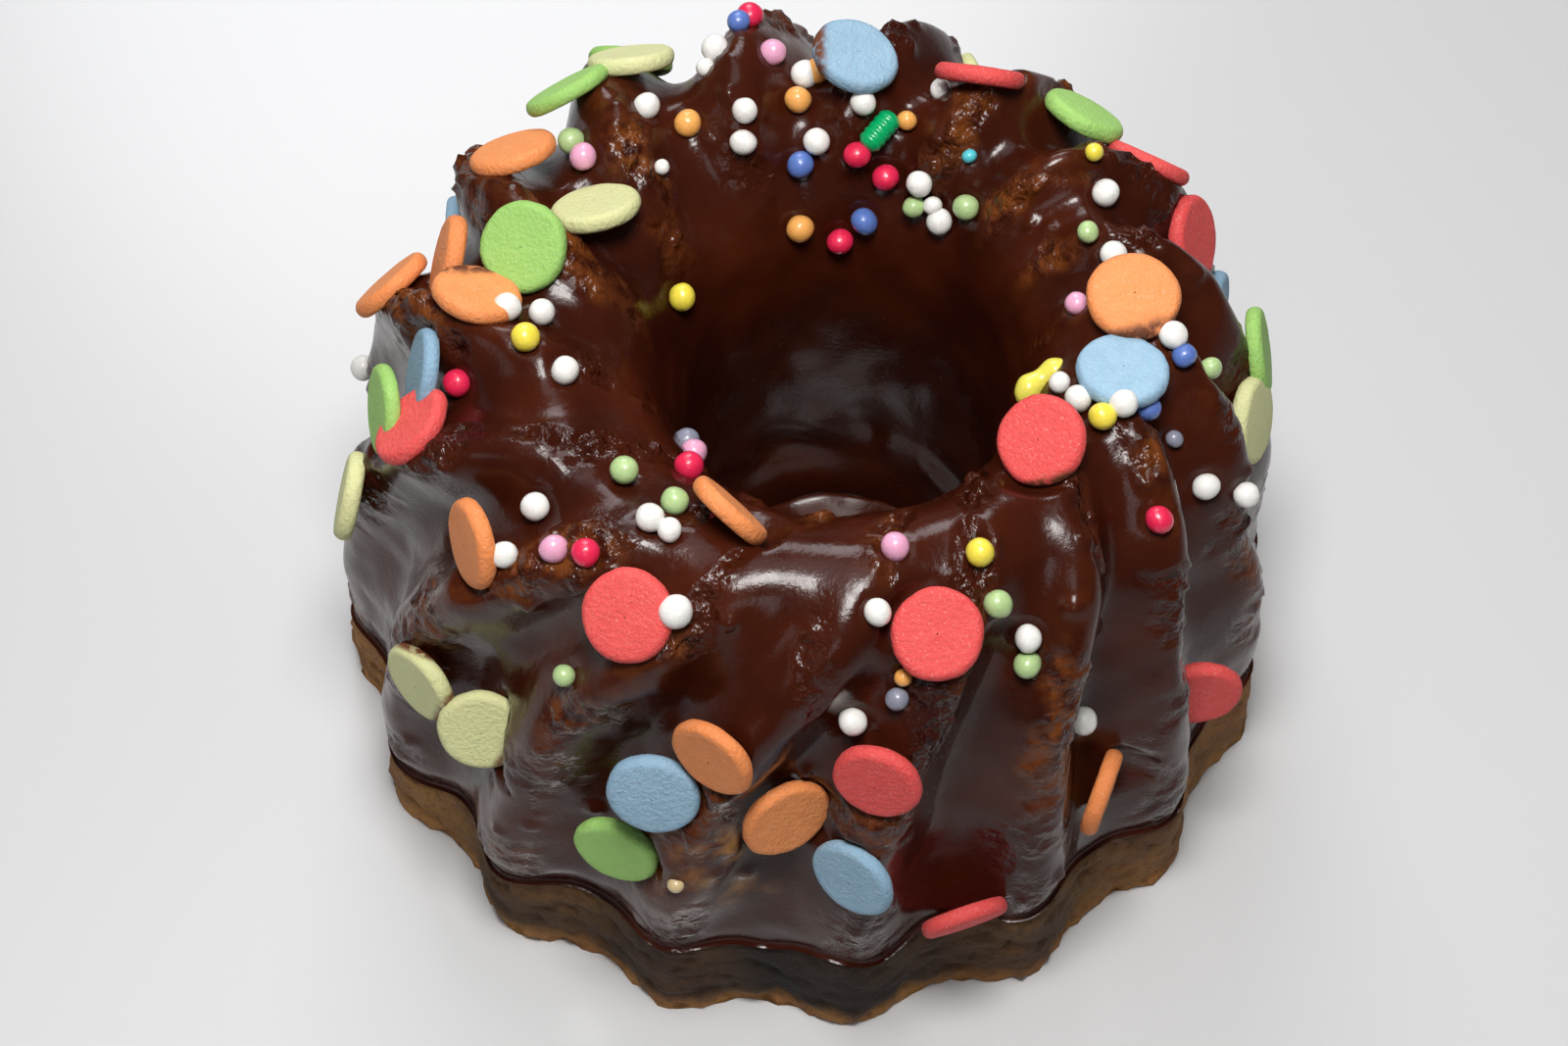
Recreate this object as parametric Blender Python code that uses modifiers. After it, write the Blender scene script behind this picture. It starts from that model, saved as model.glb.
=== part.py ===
"""A small ring cake in fluted form under a chocolate glaze, with sugar sprinkles fused to it.

Units are metres and degrees, +Z is up, and the cake stands on z = 0 with the middle of its box
over the origin. A place on the ring is an azimuth, counted from +X towards +Y, and a share
across: the part of the way along the ring's section, from 0 low in the hole, over the crest, to 1
low on the outer wall. Below both, the foot runs straight down to z = 0.
"""
import math
import random

import bmesh
import bpy
import numpy as np
from mathutils import Matrix, Vector

MM = 0.001
NODE = "ring_cake"

# Ring: where its axis stands, and its section as (radius, height) in millimetres
AXIS = Vector((0.0, 0.37 * MM, 0.0))
SECTION = (
    (10.8, 5.0), (11.1, 17.0), (11.6, 28.0), (13.4, 35.0), (16.4, 40.4), (20.5, 43.4), (25.0, 42.8),
    (29.0, 39.3), (32.0, 33.0), (34.0, 24.5), (35.0, 16.0), (35.2, 10.0), (35.4, 6.2), (35.5, 3.6),
)
SECTION_STEPS = 24
HOLE_SHIFT = 2.4 * MM
ROWS_IN_HOLE = 2
ROWS_OVER_CREST = 13
HOLE_SHARE = 0.27

# Flutes: they swirl round the crown, crowd a little on one side, and fade into the hole
FLUTES = 16
FLUTE_SIDES = 8
FLUTE_DEPTH = 4.0 * MM
FLUTE_SHARPNESS = 1.25
FLUTE_PHASE = 5.5
FLUTE_FADE_AT_FOOT = 0.5
FLUTE_START = 0.31
FLUTE_DELAY = 0.15
FLUTE_RISE = 0.26
DELAY_TOWARDS = 275.0
SWIRL = 30.0
CROWDING = 14.0
CROWDING_TOWARDS = 240.0

# Sprinkles: confetti discs, round pearls and short strands of pressed sugar
DISC_RADIUS = 3.3 * MM
DISC_THICKNESS = 1.35 * MM
DISC_SIDES = 12
DISC_SINK = 0.4 * MM
PEARL_RADIUS = 1.0 * MM
PEARL_LIFT = 0.35 * MM
STRAND_RADIUS = 0.9 * MM

# Each disc: azimuth, share across, then the azimuth and the elevation that its face looks to
CONFETTI = {
    "coral": (
        (-72, 0.555, 265, 60), (-81, 0.675, 251, 12), (-28, 0.835, 275, 8), (-37, 0.455, 220, 55),
        (196, 0.59, 165, 48), (243, 0.555, 250, 48), (-71, 0.915, 290, -20), (58, 0.48, 80, 38),
        (32, 0.605, 60, 35),
    ),
    "orange": (
        (-94, 0.745, 295, 12), (-101, 0.65, 236, 6), (-52, 0.825, 340, -5), (0, 0.485, 280, 78),
        (218, 0.575, 203, 12), (148, 0.535, 117, 53), (179, 0.515, 60, 62), (166, 0.55, 178, 18),
        (247, 0.455, 41, 27),
    ),
    "sky": (
        (-84, 0.79, 235, 12), (-110, 0.72, 262, 22), (-17, 0.485, 79, 81), (187, 0.57, 183, 18),
        (85, 0.475, 5, 70),
    ),
    "lime": (
        (166, 0.48, 240, 52), (43, 0.575, 47, 47), (133, 0.535, 128, 40), (246, 0.815, 250, 6),
        (187, 0.63, 192, 14), (8, 0.69, 358, 14),
    ),
    "cream": (
        (155, 0.425, 111, 58), (-1, 0.705, 340, 17), (194, 0.71, 176, 14), (215, 0.77, 225, 6),
        (222, 0.79, 268, 28), (121, 0.54, 100, 48),
    ),
}
PEARLS = {
    "white": (
        (-81, 0.526), (-58, 0.596), (-84, 0.633), (-51, 0.745), (-19, 0.637), (-17, 0.665),
        (-25, 0.455), (-24, 0.495), (-7, 0.52), (12, 0.475), (181, 0.455), (182, 0.487),
        (197, 0.45), (-137, 0.572), (-140, 0.527), (-110, 0.54), (238, 0.485), (109, 0.443),
        (112, 0.42), (93, 0.407), (82, 0.443), (65, 0.387), (58, 0.36), (93, 0.475),
        (107, 0.51), (126, 0.485), (66, 0.49), (28, 0.51),
    ),
    "pink": ((-77, 0.48), (2, 0.43), (-131, 0.54), (99, 0.50), (141, 0.48), (208, 0.31)),
    "red": ((-33, 0.58), (190, 0.545), (233, 0.528), (229, 0.40), (90, 0.32), (76, 0.38)),
    "yellow": ((-63, 0.505), (-27, 0.484), (190, 0.475), (152, 0.34), (33, 0.505)),
    "mint": (
        (-63, 0.545), (-59, 0.62), (17, 0.46), (-8, 0.57), (226, 0.46), (239, 0.463),
        (51, 0.382), (138, 0.51), (237, 0.64),
    ),
    "blue": ((-21, 0.517), (-9, 0.535), (99, 0.388), (82, 0.34), (102, 0.53)),
    "orange": ((120, 0.447), (96, 0.443), (103, 0.335), (72, 0.432)),
}
STRANDS = {"green": ((78, 0.415, 60, 3.3),), "yellow": ((-15, 0.385, 88, 4.6),)}

# The outer wall on the far side carries more of the same, strewn by a seeded rule
STREW_SEED = 7
STREW_AZIMUTHS = (12.0, 172.0)
STREW_SHARES = (0.62, 0.88)
STREWN_DISCS = 9
STREWN_PEARLS = 8
STREW_GAP = 8.5 * MM

# Colours as linear red, green and blue
GLAZE = (0.058, 0.014, 0.007)
SUGAR = {
    "coral": (0.72, 0.11, 0.10), "orange": (0.80, 0.27, 0.09), "sky": (0.28, 0.45, 0.68),
    "lime": (0.25, 0.56, 0.12), "cream": (0.66, 0.68, 0.36), "white": (0.85, 0.84, 0.80),
    "pink": (0.80, 0.38, 0.52), "red": (0.70, 0.03, 0.09), "yellow": (0.80, 0.68, 0.10),
    "mint": (0.42, 0.56, 0.27), "blue": (0.11, 0.20, 0.52), "green": (0.0, 0.36, 0.13),
}


def smooth(low, high, share):
    """0 below low, 1 above high, and an even rise between them."""
    step = np.clip((share - low) / (high - low), 0.0, 1.0)
    return step * step * (3.0 - 2.0 * step)


def section_curve():
    """The section as even steps: share across, radius, height and outward normal."""
    stations = np.array(SECTION) * MM
    ends = np.vstack([2 * stations[0] - stations[1], stations, 2 * stations[-1] - stations[-2]])
    points = []
    for before, start, stop, after in zip(ends, ends[1:], ends[2:], ends[3:]):
        for step in np.arange(SECTION_STEPS) / SECTION_STEPS:
            bend = 2 * before - 5 * start + 4 * stop - after
            twist = 3 * (start - stop) + after - before
            points.append(start + 0.5 * step * (stop - before + step * (bend + step * twist)))
    points = np.array(points + [stations[-1]])
    lengths = np.append(0.0, np.cumsum(np.hypot(*np.diff(points, axis=0).T)))
    along = np.gradient(points, axis=0)
    along /= np.hypot(along[:, 0], along[:, 1])[:, None]
    return lengths / lengths[-1], points, np.stack([-along[:, 1], along[:, 0]], -1), lengths[-1]


SHARES, SECTION_POINTS, SECTION_NORMALS, SECTION_LENGTH = section_curve()
HOLE_FOOT = -SECTION[0][1] * MM / SECTION_LENGTH
OUTER_FOOT = 1.0 + SECTION[-1][1] * MM / SECTION_LENGTH


def section_at(share):
    """Radius and height of the unfluted ring, with its foot straight down past either end."""
    radius, height = (np.interp(share, SHARES, SECTION_POINTS[:, i]) for i in (0, 1))
    past_end = np.maximum(-share, 0.0) + np.maximum(share - 1.0, 0.0)
    return radius, np.maximum(height - past_end * SECTION_LENGTH, 0.0)


def flute_turn(azimuth, share):
    """A place's own turn among the flutes: it stays the same all along a ridge or a valley."""
    swirled = azimuth - FLUTE_PHASE - SWIRL * (1 - smooth(0.28, 0.75, share))
    crowded = CROWDING * (1 - smooth(0.30, 0.95, share))
    return swirled - crowded * np.cos(np.radians(azimuth - CROWDING_TOWARDS))


def azimuth_of_turn(turn, share):
    """The azimuth at which the flutes have that turn, closed in on step by step."""
    azimuth = turn
    for _ in range(12):
        azimuth = azimuth + turn - flute_turn(azimuth, share)
    return azimuth


def flute_relief(azimuth, share):
    """How deep the flutes lie under the ring's own surface: 0 along a ridge."""
    ridge = 0.5 + 0.5 * np.cos(np.radians(FLUTES * flute_turn(azimuth, share)))
    delay = FLUTE_DELAY * (0.5 + 0.5 * np.cos(np.radians(azimuth - DELAY_TOWARDS))) ** 2
    rise = smooth(0.0, FLUTE_RISE, share - FLUTE_START - delay)
    fade = rise * (1 - FLUTE_FADE_AT_FOOT * smooth(0.7, 1.0, share))
    return FLUTE_DEPTH * fade * (1 - ridge**FLUTE_SHARPNESS)


def surface(azimuth, share):
    """Points of the cake's surface, for numbers or arrays of azimuths and shares."""
    azimuth, share = np.broadcast_arrays(np.asarray(azimuth, float), np.asarray(share, float))
    radius, height = section_at(share)
    out, up = (np.interp(share, SHARES, SECTION_NORMALS[:, i]) for i in (0, 1))
    up = up * (1 - smooth(0.9, 1.0, share))
    depth = flute_relief(azimuth, share)
    radius = radius - depth * out
    height = height - depth * up
    shift = HOLE_SHIFT * (1 - smooth(0.3, 0.6, share))
    turn = np.radians(azimuth)
    across = radius * np.cos(turn) + shift + AXIS.x
    return np.stack([across, radius * np.sin(turn) + AXIS.y, height], -1)


def footprint(azimuth, share, reach):
    """Points of the surface under a sprinkle that reaches this far from its middle."""
    radius = np.interp(share, SHARES, SECTION_POINTS[:, 0])
    turns = np.radians(np.arange(0, 360, 30))
    azimuths = [azimuth]
    shares = [share]
    for part in (0.5, 1.0):
        azimuths.extend(azimuth + np.degrees(part * reach * np.cos(turns) / radius))
        shares.extend(share + part * reach * np.sin(turns) / SECTION_LENGTH)
    return surface(np.array(azimuths), np.clip(shares, 0.0, 1.0))


def direction(azimuth, elevation):
    flat = math.cos(math.radians(elevation))
    turn = math.radians(azimuth)
    return Vector((flat * math.cos(turn), flat * math.sin(turn), math.sin(math.radians(elevation))))


def resting_normal(azimuth, share, reach):
    """The direction that a sprinkle faces where it lies flat on the surface."""
    points = footprint(azimuth, share, reach)
    normal = Vector(np.linalg.svd(points - points.mean(0))[2][2])
    out, up = (np.interp(share, SHARES, SECTION_NORMALS[:, i]) for i in (0, 1))
    envelope = direction(azimuth, math.degrees(math.atan2(up, out)))
    return normal if normal.dot(envelope) > 0 else -normal


def material(name, colour, roughness):
    made = bpy.data.materials.new(name)
    made.use_nodes = True
    shader = made.node_tree.nodes["Principled BSDF"]
    shader.inputs["Base Color"].default_value = (*colour, 1.0)
    shader.inputs["Roughness"].default_value = roughness
    return made


def add_object(name, mesh, collection, finish):
    made = bpy.data.objects.new(name, mesh)
    collection.objects.link(made)
    mesh.materials.append(finish)
    return made


def evaluated_mesh(source):
    graph = bpy.context.evaluated_depsgraph_get()
    return bpy.data.meshes.new_from_object(source.evaluated_get(graph))


def turned_ring(collection):
    """The plain ring: its section, closed along the base, turned by a Screw modifier."""
    in_hole = np.linspace(0.0, HOLE_SHARE, ROWS_IN_HOLE + 1)[:-1]
    over_crest = np.linspace(HOLE_SHARE, 1.0, ROWS_OVER_CREST + 1)
    shares = np.concatenate([[HOLE_FOOT], in_hole, over_crest, [OUTER_FOOT]])
    profile = bmesh.new()
    corners = []
    for radius, height in zip(*section_at(shares)):
        corners.append(profile.verts.new((radius, 0.0, height)))
    for start, stop in zip(corners, corners[1:] + corners[:1]):
        profile.edges.new((start, stop))
    mesh = bpy.data.meshes.new("ring_section")
    profile.to_mesh(mesh)
    profile.free()
    section = bpy.data.objects.new("ring_section", mesh)
    collection.objects.link(section)
    screw = section.modifiers.new("turn", "SCREW")
    screw.steps = screw.render_steps = FLUTES * FLUTE_SIDES
    screw.use_merge_vertices = True
    screw.merge_threshold = 0.00005
    turned = evaluated_mesh(section)
    bpy.data.objects.remove(section)
    return turned, shares


def fluted_ring(collection, finish):
    """The turned ring with its points moved to the fluted surface, in rows along the flutes."""
    mesh, shares = turned_ring(collection)
    radii, heights = section_at(shares)
    for vertex in mesh.vertices:
        flat = Vector((vertex.co.x, vertex.co.y)).length
        row = np.argmin(np.hypot(radii - flat, heights - vertex.co.z))
        turn = math.degrees(math.atan2(vertex.co.y, vertex.co.x))
        vertex.co = surface(azimuth_of_turn(turn, shares[row]), shares[row])
    mesh.shade_smooth()
    return add_object(NODE, mesh, collection, finish)


def place(made, spot, facing, spin=0.0):
    made.matrix_world = (
        Matrix.Translation(spot)
        @ facing.to_track_quat("Z", "Y").to_matrix().to_4x4()
        @ Matrix.Rotation(math.radians(spin), 4, "Z")
    )


def add_disc(name, azimuth, share, facing, collection, finish):
    """A confetti disc with its lower face sunk a little into what it leans on."""
    shape = bmesh.new()
    bmesh.ops.create_cone(
        shape, cap_ends=True, segments=DISC_SIDES,
        radius1=DISC_RADIUS, radius2=DISC_RADIUS, depth=DISC_THICKNESS,
    )
    mesh = bpy.data.meshes.new(name)
    shape.to_mesh(mesh)
    shape.free()
    points = footprint(azimuth, share, 0.85 * DISC_RADIUS)
    middle = Vector(points.mean(0))
    heights = [(Vector(point) - middle).dot(facing) for point in points]
    lift = float(np.percentile(heights, 94)) - DISC_SINK + DISC_THICKNESS / 2
    place(add_object(name, mesh, collection, finish), middle + facing * lift, facing)


def add_pearl(name, azimuth, share, collection, finish):
    shape = bmesh.new()
    bmesh.ops.create_uvsphere(shape, u_segments=6, v_segments=4, radius=PEARL_RADIUS)
    mesh = bpy.data.meshes.new(name)
    shape.to_mesh(mesh)
    shape.free()
    facing = resting_normal(azimuth, share, PEARL_RADIUS)
    spot = Vector(surface(azimuth, share)) + facing * PEARL_LIFT
    place(add_object(name, mesh, collection, finish), spot, facing, spin=azimuth)


def add_strand(name, azimuth, share, heading, length, collection, finish):
    """A short round-ended strand that lies along its heading on the surface."""
    shape = bmesh.new()
    bmesh.ops.create_uvsphere(shape, u_segments=6, v_segments=5, radius=STRAND_RADIUS)
    bmesh.ops.scale(shape, vec=(1.0, 1.0, length / 2 / STRAND_RADIUS), verts=shape.verts)
    bmesh.ops.rotate(shape, matrix=Matrix.Rotation(math.radians(90), 3, "Y"), verts=shape.verts)
    mesh = bpy.data.meshes.new(name)
    shape.to_mesh(mesh)
    shape.free()
    facing = resting_normal(azimuth, share, length / 2)
    spot = Vector(surface(azimuth, share)) + facing * STRAND_RADIUS * 0.4
    place(add_object(name, mesh, collection, finish), spot, facing, spin=heading)


def strewn_places(draw, count, taken):
    """Seeded places on the far outer wall, each clear of those already taken."""
    places = []
    while len(places) < count:
        azimuth = draw.uniform(*STREW_AZIMUTHS)
        share = draw.uniform(*STREW_SHARES)
        spot = Vector(surface(azimuth, share))
        if all((spot - other).length > STREW_GAP for other in taken):
            taken.append(spot)
            places.append((azimuth, share))
    return places


def add_sprinkles(collection, finishes):
    draw = random.Random(STREW_SEED)
    names = sorted(CONFETTI)
    for colour, rows in CONFETTI.items():
        for number, (azimuth, share, towards, elevation) in enumerate(rows, 1):
            facing = direction(towards, elevation)
            name = f"disc_{colour}_{number}"
            add_disc(name, azimuth, share, facing, collection, finishes[colour])
    taken = []
    for number, (azimuth, share) in enumerate(strewn_places(draw, STREWN_DISCS, taken), 1):
        facing = resting_normal(azimuth, share, DISC_RADIUS)
        finish = finishes[names[number % len(names)]]
        add_disc(f"disc_far_{number}", azimuth, share, facing, collection, finish)
    for colour, rows in PEARLS.items():
        for number, (azimuth, share) in enumerate(rows, 1):
            name = f"pearl_{colour}_{number}"
            add_pearl(name, azimuth, share, collection, finishes[colour])
    for number, (azimuth, share) in enumerate(strewn_places(draw, STREWN_PEARLS, taken), 1):
        add_pearl(f"pearl_far_{number}", azimuth, share, collection, finishes["white"])
    for colour, rows in STRANDS.items():
        for azimuth, share, heading, length in rows:
            name = f"strand_{colour}"
            finish = finishes[colour]
            add_strand(name, azimuth, share, heading, length * MM, collection, finish)


def fuse(body, sprinkles):
    """One solid of the ring and all its sprinkles, which are then removed."""
    union = body.modifiers.new("fused_sprinkles", "BOOLEAN")
    union.operation = "UNION"
    union.operand_type = "COLLECTION"
    union.collection = sprinkles
    union.solver = "EXACT"
    fused = evaluated_mesh(body)
    body.modifiers.remove(union)
    body.data = fused
    for sprinkle in list(sprinkles.objects):
        bpy.data.objects.remove(sprinkle)
    bpy.data.collections.remove(sprinkles)


def drop_scraps(body):
    """Keeps the largest connected piece, so that nothing floats free of the cake."""
    shape = bmesh.new()
    shape.from_mesh(body.data)
    pieces = []
    left = set(shape.verts)
    while left:
        reached = [left.pop()]
        for vertex in reached:
            near = {edge.other_vert(vertex) for edge in vertex.link_edges} & left
            left -= near
            reached.extend(near)
        pieces.append(reached)
    pieces.sort(key=len)
    for scrap in pieces[:-1]:
        bmesh.ops.delete(shape, geom=scrap, context="VERTS")
    shape.to_mesh(body.data)
    shape.free()


def build():
    for leftover in list(bpy.data.objects):
        bpy.data.objects.remove(leftover)
    cake = bpy.data.collections.new("fluted_ring_cake")
    sprinkles = bpy.data.collections.new("sprinkles")
    for collection in (cake, sprinkles):
        bpy.context.scene.collection.children.link(collection)
    finishes = {name: material(f"{name}_sugar", SUGAR[name], 0.5) for name in SUGAR}
    body = fluted_ring(cake, material("chocolate_glaze", GLAZE, 0.25))
    add_sprinkles(sprinkles, finishes)
    bpy.context.view_layer.update()
    fuse(body, sprinkles)
    drop_scraps(body)


build()
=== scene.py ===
"""The looks of a small fluted ring cake: chocolate glaze over baked crumb, strewn with sugar.

Units are metres and degrees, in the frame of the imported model: +Z is up and the cake stands on
z = 0. A place on the ring is an azimuth, counted from +X towards +Y, and a share across: the part
of the way along the ring's section, from 0 low in the hole, over the crest, to 1 low on the outer
wall. Below both, the foot runs straight down to z = 0. The ring's section, its flutes and the
sprinkles' places are those of the solid.
"""

import math
import random

import bpy
import numpy as np
from mathutils import Matrix, Vector, noise


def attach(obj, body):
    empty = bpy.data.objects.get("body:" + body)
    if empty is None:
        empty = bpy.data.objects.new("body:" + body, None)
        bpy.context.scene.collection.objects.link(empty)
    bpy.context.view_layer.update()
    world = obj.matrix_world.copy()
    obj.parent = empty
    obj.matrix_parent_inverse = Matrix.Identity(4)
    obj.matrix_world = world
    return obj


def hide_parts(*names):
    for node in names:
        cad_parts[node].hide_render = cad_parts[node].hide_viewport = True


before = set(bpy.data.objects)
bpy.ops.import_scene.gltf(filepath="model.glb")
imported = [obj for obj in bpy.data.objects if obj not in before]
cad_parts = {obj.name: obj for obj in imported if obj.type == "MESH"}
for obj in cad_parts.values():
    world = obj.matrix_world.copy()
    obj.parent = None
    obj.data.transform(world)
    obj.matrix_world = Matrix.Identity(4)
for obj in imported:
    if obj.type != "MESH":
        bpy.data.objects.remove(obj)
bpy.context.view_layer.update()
NODE = "ring_cake"
BODY = "root"
MM = 0.001

# Ring: where its axis stands, its section as (radius, height) in millimetres, and how far the hole
# stands off the axis towards +X. Here and below, a pair of shares says where along the section a
# change begins and where it ends
AXIS = Vector((0.0, 0.37 * MM, 0.0))
SECTION = (
    (10.8, 5.0), (11.1, 17.0), (11.6, 28.0), (13.4, 35.0), (16.4, 40.4), (20.5, 43.4), (25.0, 42.8),
    (29.0, 39.3), (32.0, 33.0), (34.0, 24.5), (35.0, 16.0), (35.2, 10.0), (35.4, 6.2), (35.5, 3.6),
)
SECTION_STEPS = 24
HOLE_SHIFT = 2.4 * MM
HOLE_SHIFT_SHARES = (0.3, 0.6)
UPRIGHT_SHARES = (0.9, 1.0)

# Flutes: they start past the hole, later towards one side, deepen over the crown and are shallower
# at the foot. They swirl round the crown and crowd a little on one side
FLUTES = 16
FLUTE_DEPTH = 4.0 * MM
FLUTE_SHARPNESS = 1.25
FLUTE_PHASE = 5.5
FLUTE_START = 0.31
FLUTE_DELAY = 0.15
DELAY_TOWARDS = 275.0
FLUTE_RISE = 0.26
FLUTE_FADE_AT_FOOT = 0.5
FLUTE_FADE_SHARES = (0.7, 1.0)
SWIRL = 30.0
SWIRL_SHARES = (0.28, 0.75)
CROWDING = 14.0
CROWDING_SHARES = (0.30, 0.95)
CROWDING_TOWARDS = 240.0
TURN_ROUNDS = 12

# Glaze mesh: columns follow the flutes, and rows are closer over the crown and the outer wall
COLUMNS = 34 * FLUTES
ROWS_IN_HOLE = 28
ROWS_OUTSIDE = 146
HOLE_SHARE = 0.27

# Edge of the glaze low on the outer wall: the share across at which it lies behind, how much
# higher it is in front, how far it wanders, and its proud rounded lip
GLAZE_EDGE = 0.992
EDGE_RISE = 0.056
EDGE_RISES_TOWARDS = 282.0
EDGE_WANDER = 1.0 * MM
EDGE_WANDER_WIDTH = 6.0 * MM
EDGE_REACH = 3.0 * MM
LIP_LIFT = 0.42 * MM
LIP_WIDTH = 0.5 * MM
LIP_FADE = 2.5 * MM
LIP_START = 0.98
LIP_ROWS = (0.986, 0.991, 0.995, 0.9975, 0.999, 1.0)

# Bare foot below the glaze: how far up and how deep its top is tucked under the glaze's edge, how
# far past that edge it comes out, and its lumps and pits
FOOT_ROWS = 26
FOOT_TUCK = 1.0 * MM
TUCK_DEPTH = 0.45 * MM
TUCK_OPENS = (-0.2 * MM, 1.0 * MM)
FOOT_SINK = 0.1 * MM
FOOT_RELIEF = 0.3 * MM
FOOT_WIDTH = 1.4 * MM
FOOT_PITS = 1.3
FOOT_PIT_WIDTH = 1.1 * MM

# Underside: its pores, which stop short of its rim
BASE_ROWS = 29
BASE_RIM = 33.0 * MM
BASE_RIM_PARTS = (0.94, 1.0)
BASE_PORE_WIDTH = 2.2 * MM
BASE_PORE_DEPTH = 0.8 * MM
BASE_PORE_GAP = 0.45

# The front of the foot, painted dark as shade under the glaze's lip and as chocolate soak: degrees
# either way, how far they wander, and how far up from the base the darkening fades in
SHADE_SOAK_TOWARDS = 268.0
SHADE_SOAK_REACH = 60.0
SHADE_SOAK_WANDER = 14.0
SHADE_SOAK_WIDTH = 7.0 * MM
SHADE_SOAK_RISE = 2.5 * MM

# Glaze relief: how far each kind of unevenness stands out, and how wide it is. Crumb lies along the
# ridges in ragged patches, less of it on the outer wall and at the foot, and glaze is drawn up in a
# cuff round each pearl
RELIEF_SHARES = (0.32, 0.42)
RELIEF_ENDS = (0.90, 1.0)
WALL_SHARES = (0.6, 0.75)
RIDGE_RANGE = (0.5, 0.92)
SWELL = 0.42 * MM
SWELL_WIDTH = 8.0 * MM
SWELL_SINK = 0.1 * MM
RIPPLE = 0.09 * MM
RIPPLE_WIDTH = 3.0 * MM
PATCH_WIDTH = 6.0 * MM
RAGGED_WIDTH = 2.6 * MM
CRUMB_LIFT = 0.60 * MM
CRUMB_WIDTH = 1.2 * MM
PIT_DEPTH = 0.5 * MM
PIT_WIDTH = 1.25 * MM
GRIT_LIFT = 0.05 * MM
GRIT_WIDTH = 0.5 * MM
WRINKLE = 0.04 * MM
WRINKLE_SHARES = (0.55, 0.75)
WRINKLES_ROUND = 0.55
WRINKLES_ACROSS = 16.0
CUFF_LIFT = 0.2 * MM
CUFF_WIDTH = 0.3 * MM

# Where each kind of noise starts, so that no two on one piece follow each other
SEEDS = {
    "ridges": 11.0, "patches": 4.0, "crumbs": 2.0, "crumb height": 6.0, "ripple": 9.0, "pits": 5.0,
    "grit": 7.0, "wrinkles": 3.0, "sag": 13.0, "golden": 15.0, "bare": 8.0, "pool edge": 3.0,
    "pool top": 6.0, "foot": 3.0, "foot pits": 5.0, "base pores": 6.0, "shade_and_soak": 2.0,
}

# Glaze that sagged down the hole and set in bulges low on its wall
SAG = 1.2 * MM
SAG_SHARE = 0.045
SAG_REACH = 0.045
SAG_WIDTH = 5.0 * MM

# Glaze pooled round the foot of the hole: how far it reaches in, how deep it lies and climbs, and
# how uneven its edge and its top are
POOL_REACH = 5.8 * MM
POOL_DEPTH = 0.5 * MM
POOL_CLIMB = 1.1 * MM
POOL_CLIMB_REACH = 0.12
POOL_INTO_WALL = 0.3 * MM
POOL_COLUMNS = 144
POOL_LIP = 0.06
POOL_WANDER = 0.16
POOL_WANDER_WIDTH = 0.9
POOL_SWELL = 0.3
POOL_SWELL_WIDTH = 3.5 * MM

# Open pores in the crumb, read from the photograph: azimuth, share across and radius in
# millimetres. More are strewn along the ridges by a seeded rule. A pore's depth is a part of its
# radius
PORES = (
    (269.5, 0.70, 0.75), (260.5, 0.784, 0.7), (241, 0.812, 0.6), (275.5, 0.752, 0.65),
    (205.5, 0.564, 0.6), (308, 0.58, 0.6), (221, 0.575, 0.6), (228, 0.60, 0.7), (262, 0.83, 0.6),
    (259, 0.81, 0.5), (311, 0.62, 0.6), (329, 0.55, 0.55), (33, 0.41, 0.5), (28, 0.42, 0.5),
)
PORE_SEED = 12
STREWN_PORES = 70
PORE_SHARES = (0.38, 0.95)
PORE_RADII = (0.3, 0.55)
PORE_RIDGE = 0.6
PORE_DEPTH = 0.9
# Spots where the crumb shows bare: azimuth, share across and reach in millimetres
BARE_SPOTS = ((260, 0.79, 4.6), (262, 0.85, 3.0), (187, 0.93, 2.5))
BARE_WIDTH = 1.6 * MM

# Sprinkles: confetti discs, round pearls and short strands of pressed sugar. A disc rests on what
# lies within DISC_FOOTING of its radius, at the height that DISC_TOUCH per cent of it stays below,
# and is then sunk. A strand's middle stands STRAND_LIFT of its radii above the surface
DISC_RADIUS = 3.3 * MM
DISC_THICKNESS = 1.35 * MM
DISC_SINK = 0.4 * MM
DISC_EDGE = 0.5 * MM
DISC_SEGMENTS = 44
DISC_FOOTING = 0.85
DISC_TOUCH = 94
PEARL_RADIUS = 1.0 * MM
PEARL_LIFT = 0.5 * MM
PEARL_ROWS = 17
PEARL_SEGMENTS = 24
STRAND_RADIUS = 0.9 * MM
STRAND_LIFT = 1.1
STRAND_TIP = 0.02 * MM
STRAND_ROWS = 41
STRAND_SEGMENTS = 24

# How uneven they are. A disc's radius and thickness are drawn between two parts of the full ones
# and its dome between two heights in millimetres. Its outline waves so many times round, by so much
# of its radius, and its rim's tint begins and ends at two parts of it
DISC_RADII = (0.955, 1.0)
DISC_THICKNESSES = (0.85, 1.0)
DISC_DOMES = (-0.05, 0.16)
DISC_WAVES = ((2, 0.012), (5, 0.008))
DISC_LUMPS = 0.035 * MM
DISC_LUMP_WIDTH = 0.8 * MM
RIM_PARTS = (0.72, 1.0)
PEARL_SIZES = (0.92, 1.05)
PEARL_LUMPS = 0.03
PEARL_LUMP_WIDTH = 0.9

# Glaze that would stand over a disc's edge is held this low on it, as far out beside the disc and
# as far above and below its middle as the next two say
PRESSED_DEPTH = 0.35 * MM
PRESSED_BESIDE = 0.8 * MM
PRESSED_REACH = 3.0 * MM

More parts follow.
